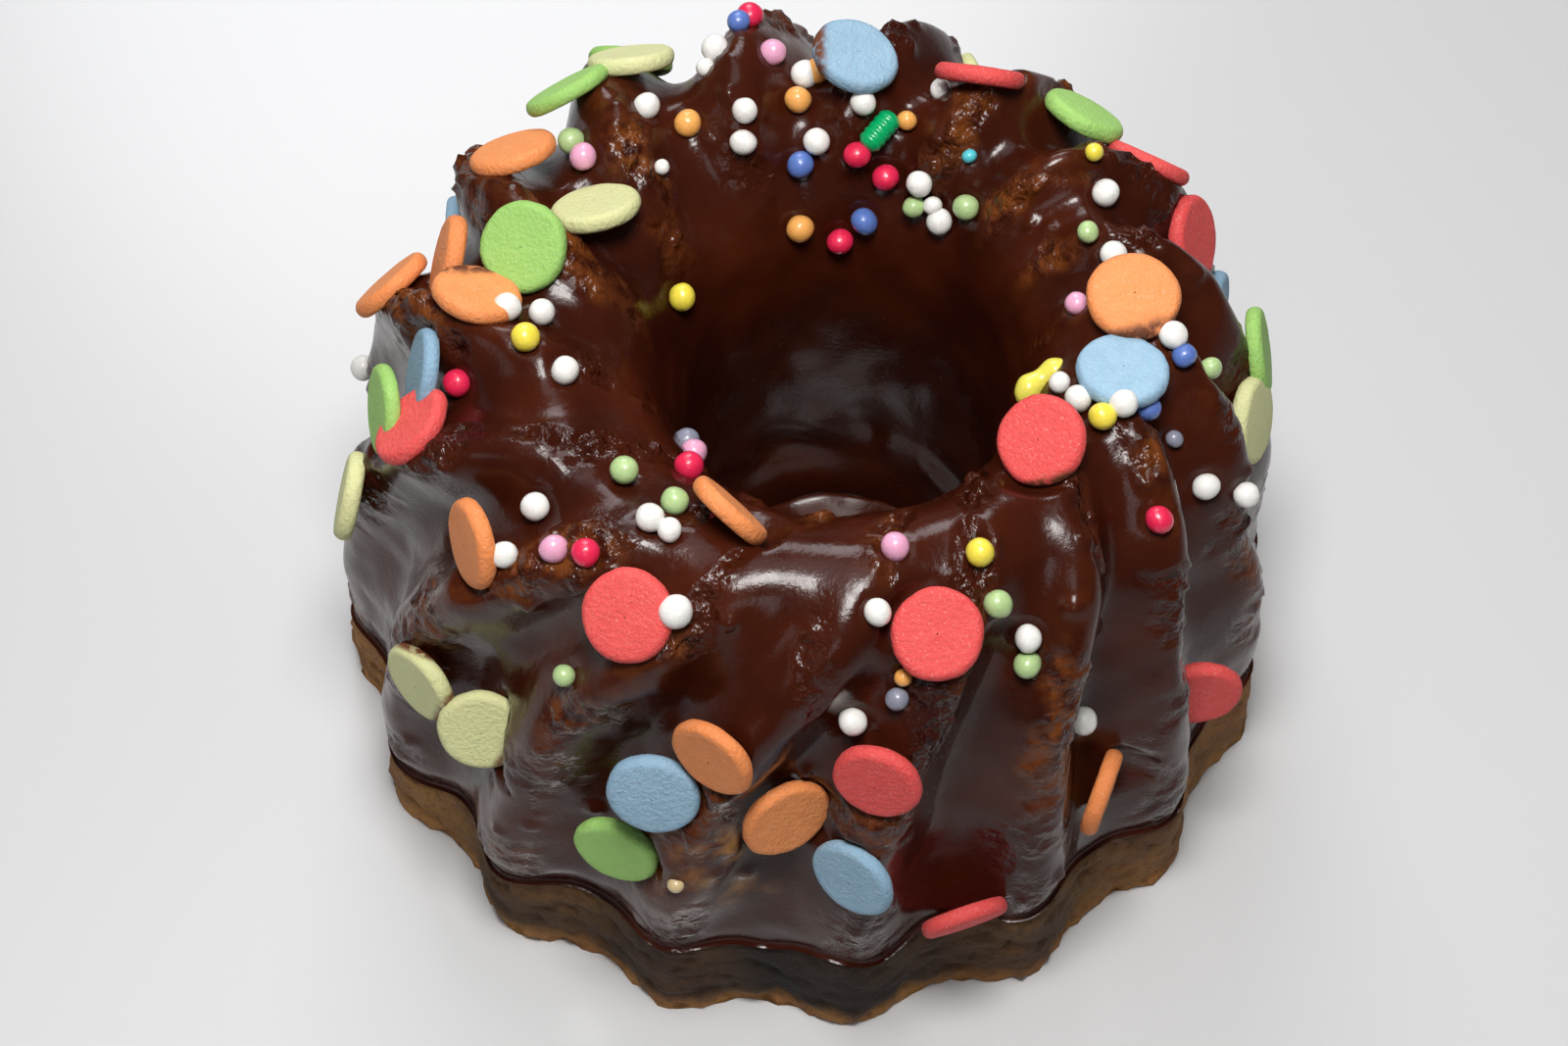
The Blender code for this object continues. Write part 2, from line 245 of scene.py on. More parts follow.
# Each disc: azimuth, share across, then the azimuth and the elevation that its face looks to
CONFETTI = {
    "coral": (
        (-72, 0.555, 265, 60), (-81, 0.675, 251, 12), (-28, 0.835, 275, 8), (-37, 0.455, 220, 55),
        (196, 0.59, 165, 48), (243, 0.555, 250, 48), (-71, 0.895, 290, -20), (58, 0.48, 80, 38),
        (32, 0.605, 60, 35),
    ),
    "orange": (
        (-94, 0.745, 295, 12), (-101, 0.65, 236, 6), (-52, 0.825, 340, -5), (0, 0.485, 280, 78),
        (218, 0.575, 203, 12), (148, 0.535, 117, 53), (179, 0.515, 60, 62), (166, 0.55, 178, 18),
        (248, 0.475, 41, 27),
    ),
    "sky": (
        (-84, 0.79, 235, 12), (-110, 0.72, 262, 22), (-17, 0.485, 79, 81), (187, 0.57, 183, 18),
        (85, 0.475, 5, 70),
    ),
    "lime": (
        (166, 0.48, 240, 52), (43, 0.575, 47, 47), (133, 0.535, 128, 40), (246, 0.815, 250, 6),
        (189, 0.61, 192, 14), (8, 0.69, 358, 14),
    ),
    "cream": (
        (155, 0.425, 111, 58), (-1, 0.705, 340, 17), (194, 0.71, 176, 14), (215, 0.77, 225, 6),
        (222, 0.79, 268, 28), (121, 0.54, 100, 48),
    ),
}
# Each pearl: azimuth and share across, and a size where it is smaller or larger than the rest
PEARLS = {
    "white": (
        (-81, 0.526), (-58, 0.596), (-84, 0.633), (-51, 0.745), (-19, 0.637), (-17, 0.665),
        (-25, 0.455), (-24, 0.495), (-7, 0.52), (12, 0.475), (181, 0.455), (182, 0.487),
        (197, 0.45), (-137, 0.572), (-140, 0.527), (-110, 0.54, 1.18), (238, 0.485), (109, 0.443),
        (112, 0.42), (93, 0.407), (82, 0.443), (65, 0.387), (58, 0.36), (93, 0.475),
        (107, 0.51), (126, 0.485), (66, 0.49, 0.8), (28, 0.51), (133, 0.43, 0.6), (61, 0.372, 0.7),
        (10, 0.47, 0.55), (-20, 0.425, 0.8), (242, 0.485, 0.85), (110, 0.50, 0.75),
    ),
    "pink": ((-77, 0.48), (2, 0.43, 0.85), (-131, 0.54), (99, 0.50), (141, 0.48), (208, 0.31)),
    "red": (
        (-33, 0.58), (190, 0.545), (233, 0.528), (229, 0.40), (90, 0.32), (76, 0.38), (84, 0.40),
        (100, 0.54),
    ),
    "yellow": ((-63, 0.505), (-27, 0.484), (190, 0.475), (152, 0.34), (33, 0.505, 0.7)),
    "mint": (
        (-63, 0.545), (-59, 0.62), (17, 0.46, 0.8), (-8, 0.57, 0.85), (226, 0.46), (239, 0.463),
        (51, 0.382), (138, 0.51), (237, 0.64, 0.8), (66, 0.365, 0.85),
    ),
    "blue": ((-21, 0.517, 0.85), (-9, 0.535, 0.9), (99, 0.388), (82, 0.34), (102, 0.53, 0.85)),
    "orange": (
        (120, 0.447), (96, 0.443), (103, 0.335), (72, 0.432, 0.75), (-77, 0.588, 0.6), (90, 0.48),
    ),
    "cyan": ((55.5, 0.425, 0.55),),
    "grey": ((-78, 0.607, 0.8), (61, 0.50, 0.6), (-17.5, 0.58, 0.65), (200, 0.30, 0.9)),
    "straw": ((-105.5, 0.815, 0.6),),
}
# Each strand: azimuth, share across, where its upper side looks to as azimuth and elevation, its
# turn about that, and its length in millimetres. The yellow one leans on the sprinkles beside it
STRANDS = {"green": (78, 0.415, 262, 72, 58, 3.3), "yellow": (-15, 0.385, 268, 64, 35, 4.6)}
# How each kind of strand is ribbed or waisted, the number of its ribs, and how far it bends
STRAND_FORMS = {"green": (0.05, 6.0, 0.0), "yellow": (-0.14, 2.0, 0.3 * MM)}

# The outer wall on the far side carries more of the same, strewn by a seeded rule
STREW_SEED = 7
STREW_AZIMUTHS = (12.0, 172.0)
STREW_SHARES = (0.62, 0.88)
STREWN_DISCS = 9
STREWN_PEARLS = 8
STREWN_NUMBERS = 100
STREW_GAP = 8.5 * MM

# Brown marks where wet glaze has crept onto a disc: the disc's colour and number, which side of it
# is stained, as degrees up from its right in the photograph, and how much of it. Then what is up in
# the photograph, as a direction of the model
STAINS = (
    ("cream", 4, -35, 0.42), ("cream", 4, 70, 0.3), ("cream", 5, -40, 0.4), ("sky", 5, 180, 0.4),
    ("orange", 4, -75, 0.5), ("coral", 4, -75, 0.28), ("orange", 7, 90, 0.35),
)
IMAGE_UP = (0.0, 0.85, 0.53)

# Colours as linear red, green and blue
GLAZE_DARK = (0.029, 0.0050, 0.0022)
GLAZE_RED = (0.056, 0.0100, 0.0034)
GLAZE_THIN = (0.18, 0.050, 0.010)
CRUMB_GOLD = (0.50, 0.24, 0.06)
CRUMB_BROWN = (0.17, 0.066, 0.018)
CRUMB_TOASTED = (0.34, 0.14, 0.034)
# Nearly black crumb: painted shade under the glaze's lip, together with chocolate soak
CRUMB_SHADED_SOAKED = (0.012, 0.0055, 0.0032)
STAIN_BROWN = (0.13, 0.032, 0.008)
DISC_COLOURS = {
    "coral": ((0.80, 0.095, 0.085), (0.62, 0.05, 0.05)),
    "orange": ((0.85, 0.31, 0.10), (0.70, 0.20, 0.05)),
    "sky": ((0.31, 0.48, 0.62), (0.18, 0.32, 0.44)),
    "lime": ((0.36, 0.64, 0.165), (0.25, 0.46, 0.10)),
    "cream": ((0.68, 0.70, 0.36), (0.58, 0.58, 0.28)),
}
PEARL_COLOURS = {
    "white": (0.84, 0.83, 0.79), "pink": (0.80, 0.38, 0.55), "red": (0.75, 0.02, 0.08),
    "yellow": (0.85, 0.70, 0.07), "mint": (0.42, 0.58, 0.26), "blue": (0.10, 0.18, 0.50),
    "orange": (0.85, 0.40, 0.10), "cyan": (0.10, 0.58, 0.66), "grey": (0.24, 0.25, 0.32),
    "straw": (0.62, 0.48, 0.26),
}
STRAND_COLOURS = {"green": (0.0, 0.37, 0.12), "yellow": (0.78, 0.70, 0.10)}
SPECK_COLOUR = (0.85, 0.80, 0.72)
FLOOR_COLOUR = (0.60, 0.605, 0.61)
SKY_COLOUR = (0.92, 0.95, 1.0)

# Looks: how wide each cloud or grain is, and how deep the bump of a grain
GLAZE_CLOUD = 7.0 * MM
GLAZE_MOTTLE = 1.6 * MM
GLAZE_STREAK = 0.9 * MM
STREAK_BUMP = 0.025 * MM
GLAZE_GRAIN = 0.35 * MM
GRAIN_BUMP = 0.02 * MM
GLAZE_CRUMB = 1.0 * MM
CRUMB_BUMP = 0.85 * MM
GLAZE_ROUGHNESS = (0.17, 0.28)
BAKED_CLOUD = 5.0 * MM
BAKED_GRAIN = 0.7 * MM
BAKED_BUMP = 0.3 * MM
DISC_CLOUD = 1.3 * MM
DISC_SPECK = 0.2 * MM
DISC_GRAIN = 0.32 * MM
DISC_BUMP = 0.15 * MM
STAIN_CLOUD = 0.8 * MM
PEARL_CLOUD = 0.5 * MM
PEARL_GRAIN = 0.25 * MM
PEARL_BUMP = 0.03 * MM

# The photograph's camera and its flash, placed from the ring's axis
CAMERA_SPOT = Vector((-1.75, -153.28, 259.19)) * MM
CAMERA_TILT = 32.0
CAMERA_LENS = 87.3
FLASH_SPOT = Vector((-2.0, -55.0, 308.0)) * MM

# Each light: its size across in metres, its watts and its colour. All but the flash start with the
# azimuth, the elevation and the metres at which they stand from the cake's middle
AIM_HEIGHT = 25.0 * MM
FLASH = (0.10, 0.90, (1.0, 0.98, 0.96))
LIGHTS = {
    "front": (268, 40, 0.5, 0.16, 0.15, (0.92, 0.95, 1.0)),
    "side": (212, 28, 0.6, 0.2, 0.10, (0.92, 0.95, 1.0)),
    "back": (98, 40, 0.55, 0.26, 1.1, (0.96, 0.97, 1.0)),
    "ceiling": (120, 76, 0.6, 0.34, 0.45, (0.96, 0.96, 1.0)),
}
SKY_STRENGTH = 0.06
FLOOR_HALF = 0.9


def smooth(low, high, share):
    """0 below low, 1 above high, and an even rise between them."""
    step = np.clip((share - low) / (high - low), 0.0, 1.0)
    return step * step * (3.0 - 2.0 * step)


def section_curve():
    """The section as a smooth curve: shares, points, outward normals and its whole length."""
    stations = np.array(SECTION) * MM
    ends = np.vstack([2 * stations[0] - stations[1], stations, 2 * stations[-1] - stations[-2]])
    points = []
    for before, start, stop, after in zip(ends, ends[1:], ends[2:], ends[3:]):
        for step in np.arange(SECTION_STEPS) / SECTION_STEPS:
            bend = 2 * before - 5 * start + 4 * stop - after
            twist = 3 * (start - stop) + after - before
            points.append(start + 0.5 * step * (stop - before + step * (bend + step * twist)))
    points = np.array(points + [stations[-1]])
    lengths = np.append(0.0, np.cumsum(np.hypot(*np.diff(points, axis=0).T)))
    along = np.gradient(points, axis=0)
    along /= np.hypot(along[:, 0], along[:, 1])[:, None]
    return lengths / lengths[-1], points, np.stack([-along[:, 1], along[:, 0]], -1), lengths[-1]


SHARES, SECTION_POINTS, SECTION_NORMALS, SECTION_LENGTH = section_curve()
HOLE_FOOT = -SECTION[0][1] * MM / SECTION_LENGTH
OUTER_FOOT = 1.0 + SECTION[-1][1] * MM / SECTION_LENGTH


def section_at(share):
    """Radius and height of the unfluted ring, with its foot straight down past either end."""
    radius, height = (np.interp(share, SHARES, SECTION_POINTS[:, i]) for i in (0, 1))
    past_end = np.maximum(-share, 0.0) + np.maximum(share - 1.0, 0.0)
    return radius, np.maximum(height - past_end * SECTION_LENGTH, 0.0)


def flute_turn(azimuth, share):
    """A place's own turn among the flutes: it stays the same all along a ridge or a valley."""
    swirled = azimuth - FLUTE_PHASE - SWIRL * (1 - smooth(*SWIRL_SHARES, share))
    crowded = CROWDING * (1 - smooth(*CROWDING_SHARES, share))
    return swirled - crowded * np.cos(np.radians(azimuth - CROWDING_TOWARDS))


def azimuth_of_turn(turn, share):
    """The azimuth at which the flutes have that turn, closed in on step by step."""
    azimuth = turn
    for _ in range(TURN_ROUNDS):
        azimuth = azimuth + turn - flute_turn(azimuth, share)
    return azimuth


def ridge_share(azimuth, share):
    """1 along a ridge of the flutes and 0 along a valley."""
    return 0.5 + 0.5 * np.cos(np.radians(FLUTES * flute_turn(azimuth, share)))


def surface(azimuth, share):
    """Points of the cake's surface, for numbers or arrays of azimuths and shares."""
    azimuth, share = np.broadcast_arrays(np.asarray(azimuth, float), np.asarray(share, float))
    radius, height = section_at(share)
    out, up = (np.interp(share, SHARES, SECTION_NORMALS[:, i]) for i in (0, 1))
    up = up * (1 - smooth(*UPRIGHT_SHARES, share))
    delay = FLUTE_DELAY * (0.5 + 0.5 * np.cos(np.radians(azimuth - DELAY_TOWARDS))) ** 2
    rise = smooth(0.0, FLUTE_RISE, share - FLUTE_START - delay)
    fade = rise * (1 - FLUTE_FADE_AT_FOOT * smooth(*FLUTE_FADE_SHARES, share))
    depth = FLUTE_DEPTH * fade * (1 - ridge_share(azimuth, share) ** FLUTE_SHARPNESS)
    radius = radius - depth * out
    height = height - depth * up
    shift = HOLE_SHIFT * (1 - smooth(*HOLE_SHIFT_SHARES, share))
    turn = np.radians(azimuth)
    across = radius * np.cos(turn) + shift + AXIS.x
    return np.stack([across, radius * np.sin(turn) + AXIS.y, height], -1)


def footprint(azimuth, share, reach):
    """Points of the surface under a sprinkle that reaches this far from its middle."""
    radius = np.interp(share, SHARES, SECTION_POINTS[:, 0])
    turns = np.radians(np.arange(0, 360, 30))
    azimuths = [azimuth]
    shares = [share]
    for part in (0.5, 1.0):
        azimuths.extend(azimuth + np.degrees(part * reach * np.cos(turns) / radius))
        shares.extend(share + part * reach * np.sin(turns) / SECTION_LENGTH)
    return surface(np.array(azimuths), np.clip(shares, 0.0, 1.0))


def direction(azimuth, elevation):
    """The unit vector that looks to an azimuth and an elevation."""
    flat = math.cos(math.radians(elevation))
    turn = math.radians(azimuth)
    return Vector((flat * math.cos(turn), flat * math.sin(turn), math.sin(math.radians(elevation))))


def resting_normal(azimuth, share, reach):
    """The direction that a sprinkle faces where it lies flat on the surface."""
    points = footprint(azimuth, share, reach)
    normal = Vector(np.linalg.svd(points - points.mean(0))[2][2])
    out, up = (np.interp(share, SHARES, SECTION_NORMALS[:, i]) for i in (0, 1))
    envelope = direction(azimuth, math.degrees(math.atan2(up, out)))
    return normal if normal.dot(envelope) > 0 else -normal


def lumps(points, width, seed=0.0):
    """Smooth noise, brought to about 1 either way, with lumps of about that width."""
    places = (points / width + seed).tolist()
    return np.array([noise.noise(place) for place in places]) * 1.6


def grains(points, width, seed=0.0):
    """Packed round grains: 1 on top of each and about 0 between them."""
    places = (points / width + seed).tolist()
    nearest = np.array([noise.voronoi(place)[0][0] for place in places])
    return np.clip(1.0 - 1.25 * nearest, 0.0, 1.0)


def add_node(tree, kind, inputs=None, **settings):
    """A shader node with its settings, and its inputs set to values or linked to sockets."""
    made = tree.nodes.new("ShaderNode" + kind)
    for name, value in settings.items():
        setattr(made, name, value)
    for name, value in (inputs or {}).items():
        if isinstance(value, bpy.types.NodeSocket):
            tree.links.new(value, made.inputs[name])
        else:
            made.inputs[name].default_value = value
    return made


def noise_of(tree, width, detail=2.0, roughness=0.5):
    """A noise texture's value, with features of about that width in metres."""
    place = add_node(tree, "TexCoord").outputs["Object"]
    inputs = {"Vector": place, "Scale": 1.0 / width, "Detail": detail, "Roughness": roughness}
    return add_node(tree, "TexNoise", inputs).outputs["Fac"]


def ramp(tree, value, low, high, start=0.0, end=1.0):
    """The value carried from low..high to start..end and held at the ends."""
    inputs = {"Value": value, "From Min": low, "From Max": high, "To Min": start, "To Max": end}
    return add_node(tree, "MapRange", inputs, clamp=True).outputs["Result"]


def times(tree, first, second):
    """The product of two values."""
    return add_node(tree, "Math", {0: first, 1: second}, operation="MULTIPLY").outputs[0]


def mix(tree, factor, first, second):
    """A mix of two colours, given as sockets or as linear red, green and blue."""
    made = add_node(tree, "Mix", {0: factor}, data_type="RGBA")
    for socket, colour in ((made.inputs[6], first), (made.inputs[7], second)):
        if isinstance(colour, bpy.types.NodeSocket):
            tree.links.new(colour, socket)
        else:
            socket.default_value = (*colour, 1.0)
    return made.outputs[2]


def attribute(tree, name):
    """A value that the mesh carries at each of its points."""
    return add_node(tree, "Attribute", attribute_name=name).outputs["Fac"]


def new_look(name):
    """A new material, its node tree and its Principled shader."""
    made = bpy.data.materials.new(name)
    made.use_nodes = True
    return made, made.node_tree, made.node_tree.nodes["Principled BSDF"]


def set_inputs(shader, **values):
    """Sets a shader's inputs, named in small letters, to constants."""
    for name, value in values.items():
        shader.inputs[name.replace("_", " ").title().replace("Ior", "IOR")].default_value = value


def connect(tree, shader, **sockets):
    """Links sockets to a shader's inputs, named in small letters."""
    for name, socket in sockets.items():
        tree.links.new(socket, shader.inputs[name.replace("_", " ").title()])


def bump(tree, height, distance, under=None):
    """The normal of a bump that is this deep, over another one if given."""
    inputs = {"Height": height, "Distance": distance, "Strength": 1.0}
    if under is not None:
        inputs["Normal"] = under
    return add_node(tree, "Bump", inputs).outputs["Normal"]


def glaze_look(name):
    """Dark chocolate glaze, redder and golden where it lies thin over the crumb."""
    look, tree, shader = new_look(name)
    cloud = noise_of(tree, GLAZE_CLOUD, 3.0)
    mottle = noise_of(tree, GLAZE_MOTTLE, 3.0, 0.6)
    thin = times(tree, attribute(tree, "thin"), ramp(tree, mottle, 0.38, 0.62))
    colour = mix(tree, ramp(tree, cloud, 0.35, 0.7), GLAZE_DARK, GLAZE_RED)
    colour = mix(tree, thin, colour, GLAZE_THIN)
    crumb_colour = mix(tree, ramp(tree, mottle, 0.4, 0.65), CRUMB_BROWN, CRUMB_GOLD)
    colour = mix(tree, attribute(tree, "bare"), colour, crumb_colour)
    connect(tree, shader, base_color=colour)
    streaks = noise_of(tree, GLAZE_STREAK, 3.0, 0.6)
    connect(tree, shader, roughness=ramp(tree, streaks, 0.35, 0.7, *GLAZE_ROUGHNESS))
    skin = bump(tree, noise_of(tree, GLAZE_GRAIN, 2.0, 0.55), GRAIN_BUMP)
    crumb_height = times(tree, attribute(tree, "rough"), noise_of(tree, GLAZE_CRUMB, 2.0, 0.5))
    skin = bump(tree, crumb_height, CRUMB_BUMP, skin)
    connect(tree, shader, normal=bump(tree, streaks, STREAK_BUMP, skin))
    set_inputs(shader, coat_weight=0.06, coat_roughness=0.07, ior=1.31)
    return look


def crumb_look():
    """Baked crumb, golden brown and porous, and nearly black in front with painted shade and
    chocolate soak.
    """
    look, tree, shader = new_look("cake_crumb")
    cloud = ramp(tree, noise_of(tree, BAKED_CLOUD, 3.0), 0.35, 0.65)
    grain = noise_of(tree, BAKED_GRAIN, 3.0, 0.65)
    colour = mix(tree, cloud, CRUMB_GOLD, CRUMB_TOASTED)
    colour = mix(tree, ramp(tree, grain, 0.5, 0.3, 0.0, 0.8), colour, CRUMB_BROWN)
    # Painted shade under the glaze's lip and chocolate soak darken the front of the foot
    colour = mix(tree, attribute(tree, "shade_and_soak"), colour, CRUMB_SHADED_SOAKED)
    connect(tree, shader, base_color=colour, normal=bump(tree, grain, BAKED_BUMP))
    set_inputs(shader, roughness=0.85)
    return look


def disc_look(name, face, rim):
    """Pressed sugar, matt and fine grained, with a brown tint where glaze has wetted it."""
    look, tree, shader = new_look(f"confetti_{name}")
    own = ramp(tree, attribute(tree, "own"), 0.0, 1.0, 0.0, 0.55)
    colour = mix(tree, own, face, rim)
    colour = mix(tree, times(tree, attribute(tree, "rim"), 0.35), colour, rim)
    cloud = ramp(tree, noise_of(tree, DISC_CLOUD, 3.0), 0.35, 0.7, 0.0, 0.3)
    colour = mix(tree, cloud, colour, rim)
    speck = ramp(tree, noise_of(tree, DISC_SPECK, 2.0, 0.6), 0.58, 0.72, 0.0, 0.16)
    colour = mix(tree, speck, colour, SPECK_COLOUR)
    wetted = ramp(tree, noise_of(tree, STAIN_CLOUD), 0.25, 0.5)
    colour = mix(tree, times(tree, attribute(tree, "stain"), wetted), colour, STAIN_BROWN)
    grain = noise_of(tree, DISC_GRAIN, 3.0, 0.65)
    connect(tree, shader, base_color=colour, normal=bump(tree, grain, DISC_BUMP))
    set_inputs(shader, roughness=0.72, subsurface_weight=0.08, subsurface_scale=0.5 * MM)
    return look


def pearl_look(name, colour, roughness=0.32):
    """Satin sugar, of a pearl or a strand."""
    look, tree, shader = new_look(f"pearl_{name}")
    cloud = ramp(tree, noise_of(tree, PEARL_CLOUD, 2.0), 0.35, 0.7, 0.0, 0.3)
    deeper = tuple(0.72 * part for part in colour)
    connect(tree, shader, base_color=mix(tree, cloud, colour, deeper))
    connect(tree, shader, normal=bump(tree, noise_of(tree, PEARL_GRAIN, 2.0), PEARL_BUMP))
    set_inputs(shader, roughness=roughness, coat_weight=0.25, coat_roughness=0.15)
    set_inputs(shader, subsurface_weight=0.1, subsurface_scale=0.4 * MM)
    return look


def add_piece(name, points, faces, look, values=None):
    """A smooth mesh that rides on the cake and takes part in standing for its node."""
    mesh = bpy.data.meshes.new(name)
    mesh.from_pydata(points.tolist(), [], faces.tolist())
    mesh.materials.append(look)
    mesh.shade_smooth()
    for key, numbers in (values or {}).items():
        made = mesh.attributes.new(key, "FLOAT", "POINT")
        made.data.foreach_set("value", np.asarray(numbers, np.float32))
    piece = bpy.data.objects.new(name, mesh)
    bpy.context.scene.collection.objects.link(piece)
    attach(piece, BODY)
    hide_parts(NODE)
    return piece


def ring_faces(rows, columns, closed=False):
    """Four-sided faces of a grid whose columns close on themselves, and its rows too if closed."""
    row, column = np.meshgrid(np.arange(rows - 1 + closed), np.arange(columns), indexing="ij")
    after = (column + 1) % columns
    above = (row + 1) % rows
    corners = (row * columns + column, row * columns + after,
               above * columns + after, above * columns + column)
    return np.stack(corners, -1).reshape(-1, 4)


def strewn_places(draw, count, taken):
    """Seeded places on the far outer wall, each clear of those already taken."""
    places = []
    while len(places) < count:
        azimuth = draw.uniform(*STREW_AZIMUTHS)
        share = draw.uniform(*STREW_SHARES)
        spot = Vector(surface(azimuth, share))
        if all((spot - other).length > STREW_GAP for other in taken):
            taken.append(spot)
            places.append((azimuth, share))
    return places


def turned_to(spot, facing, spin=0.0):
    """The matrix that carries something about the origin to a spot, with +Z to its facing."""
    return (
        Matrix.Translation(spot)
        @ facing.to_track_quat("Z", "Y").to_matrix().to_4x4()
        @ Matrix.Rotation(math.radians(spin), 4, "Z")
    )


def disc_seat(azimuth, share, facing):
    """The middle of a disc whose lower face is sunk a little into what it leans on."""
    points = footprint(azimuth, share, DISC_FOOTING * DISC_RADIUS)
    middle = Vector(points.mean(0))
    heights = [(Vector(point) - middle).dot(facing) for point in points]
    touch = float(np.percentile(heights, DISC_TOUCH))
    return middle + facing * (touch - DISC_SINK + DISC_THICKNESS / 2)


def pearl_seat(number, azimuth, share, size=1.0):
    """A pearl's number, middle, facing and size, sunk to half its radius in the glaze."""
    facing = resting_normal(azimuth, share, PEARL_RADIUS)
    return number, Vector(surface(azimuth, share)) + facing * PEARL_LIFT * size, facing, size


def all_sprinkles():
    """Where every disc and pearl sits, as {colour: [(number, middle, facing, size)]}."""
    draw = random.Random(STREW_SEED)
    names = sorted(CONFETTI)
    discs = {name: [] for name in names}
    for colour, rows in CONFETTI.items():
        for number, (azimuth, share, towards, elevation) in enumerate(rows, 1):
            facing = direction(towards, elevation)
            discs[colour].append((number, disc_seat(azimuth, share, facing), facing, 1.0))
    taken = []
    for number, (azimuth, share) in enumerate(strewn_places(draw, STREWN_DISCS, taken), 1):
        facing = resting_normal(azimuth, share, DISC_RADIUS)
        row = (STREWN_NUMBERS + number, disc_seat(azimuth, share, facing), facing, 1.0)
        discs[names[number % len(names)]].append(row)
    pearls = {name: [] for name in PEARLS}
    for colour, rows in PEARLS.items():
        for number, (azimuth, share, *size) in enumerate(rows, 1):
            pearls[colour].append(pearl_seat(number, azimuth, share, *size))
    for number, (azimuth, share) in enumerate(strewn_places(draw, STREWN_PEARLS, taken), 1):
        pearls["white"].append(pearl_seat(STREWN_NUMBERS + number, azimuth, share))
    return discs, pearls


def pores():
    """Places and radii of the open pores: those seen, and more strewn along the ridges."""
    found = [(surface(azimuth, share), radius * MM) for azimuth, share, radius in PORES]
    draw = random.Random(PORE_SEED)
    while len(found) < len(PORES) + STREWN_PORES:
        azimuth = draw.uniform(0.0, 360.0)
        share = draw.uniform(*PORE_SHARES)
        if ridge_share(azimuth, share) > PORE_RIDGE:
            found.append((surface(azimuth, share), draw.uniform(*PORE_RADII) * MM))
    return found


def glaze_relief(points, azimuth, share):
    """How far the glaze stands out at each point, how rough it is, and how thin it lies there."""
    ridge = ridge_share(azimuth, share)
    fluted = smooth(*RELIEF_SHARES, share) * (1 - 0.6 * smooth(*RELIEF_ENDS, share))
    crest = smooth(*RIDGE_RANGE, ridge + 0.3 * lumps(points, RAGGED_WIDTH, SEEDS["ridges"]))
    rough = fluted * crest * smooth(-0.3, 0.25, lumps(points, PATCH_WIDTH, SEEDS["patches"]))
    rough *= 1 - 0.55 * smooth(*WALL_SHARES, share)
    height = 0.8 + 0.7 * lumps(points, 2 * CRUMB_WIDTH, SEEDS["crumb height"])
    crumbs = grains(points, CRUMB_WIDTH, SEEDS["crumbs"]) * height
    lift = SWELL * (0.4 + 0.6 * fluted) * lumps(points, SWELL_WIDTH) - SWELL_SINK
    lift += RIPPLE * lumps(points, RIPPLE_WIDTH, SEEDS["ripple"])
    lift += CRUMB_LIFT * rough * (crumbs - 0.3)
    lift -= PIT_DEPTH * rough * smooth(0.3, 0.8, lumps(points, PIT_WIDTH, SEEDS["pits"]))
    lift += GRIT_LIFT * rough * lumps(points, GRIT_WIDTH, SEEDS["grit"])
    along = np.stack([azimuth * WRINKLES_ROUND, share * WRINKLES_ACROSS, 0 * share], -1)
    lift += WRINKLE * smooth(*WRINKLE_SHARES, share) * lumps(along, 1.0, SEEDS["wrinkles"])
    sag = np.exp(-(((share - SAG_SHARE) / SAG_REACH) ** 2))
    lift += SAG * sag * np.clip(0.6 + 0.7 * lumps(points, SAG_WIDTH, SEEDS["sag"]), 0.0, 1.4)
    for spot, radius in pores():
        near = np.linalg.norm(points - spot, axis=1) / radius
        lift -= PORE_DEPTH * radius * np.exp(-near * near)
    golden = smooth(-0.2, 0.5, lumps(points, 2 * PATCH_WIDTH, SEEDS["golden"]))
    return lift, rough, np.clip((0.75 * rough + 0.25 * fluted * ridge**3) * golden, 0.0, 1.0)


def bare_crumb(points, azimuth, share):
    """How far the crumb shows through the glaze at each point, from 0 to 1."""
    bare = np.zeros(len(points))
    for spot_azimuth, spot_share, reach in BARE_SPOTS:
        near = np.linalg.norm(points - surface(spot_azimuth, spot_share), axis=1)
        bare = np.maximum(bare, 1 - smooth(0.4, 1.0, near / (reach * MM)))
    patches = smooth(-0.2, 0.5, lumps(points, BARE_WIDTH, SEEDS["bare"]))
    return bare * (patches * (0.3 + 0.7 * ridge_share(azimuth, share)))


def press_under(points, discs):
    """Moves the points that would stand over a disc's edge back to just above its lower face."""
    for rows in discs.values():
        for _, middle, facing, _ in rows:
            facing = np.array(facing)
            away = points - np.array(middle)
            along = away @ facing
            beside = np.linalg.norm(away - along[:, None] * facing, axis=1) - DISC_RADIUS
            near = (1 - smooth(0.0, PRESSED_BESIDE, beside)) * (np.abs(along) < PRESSED_REACH)
            excess = np.clip(along + DISC_THICKNESS / 2 - PRESSED_DEPTH, 0.0, None) * near
            points -= excess[:, None] * facing


def glaze_edge(turns):
    """The share across at which the glaze ends: higher up in front, and wandering all round."""
    wander = EDGE_WANDER / SECTION_LENGTH * lumps(surface(turns, GLAZE_EDGE), EDGE_WANDER_WIDTH)
    rise = EDGE_RISE * (0.5 + 0.5 * np.cos(np.radians(turns - EDGE_RISES_TOWARDS)))
    return GLAZE_EDGE + wander - rise


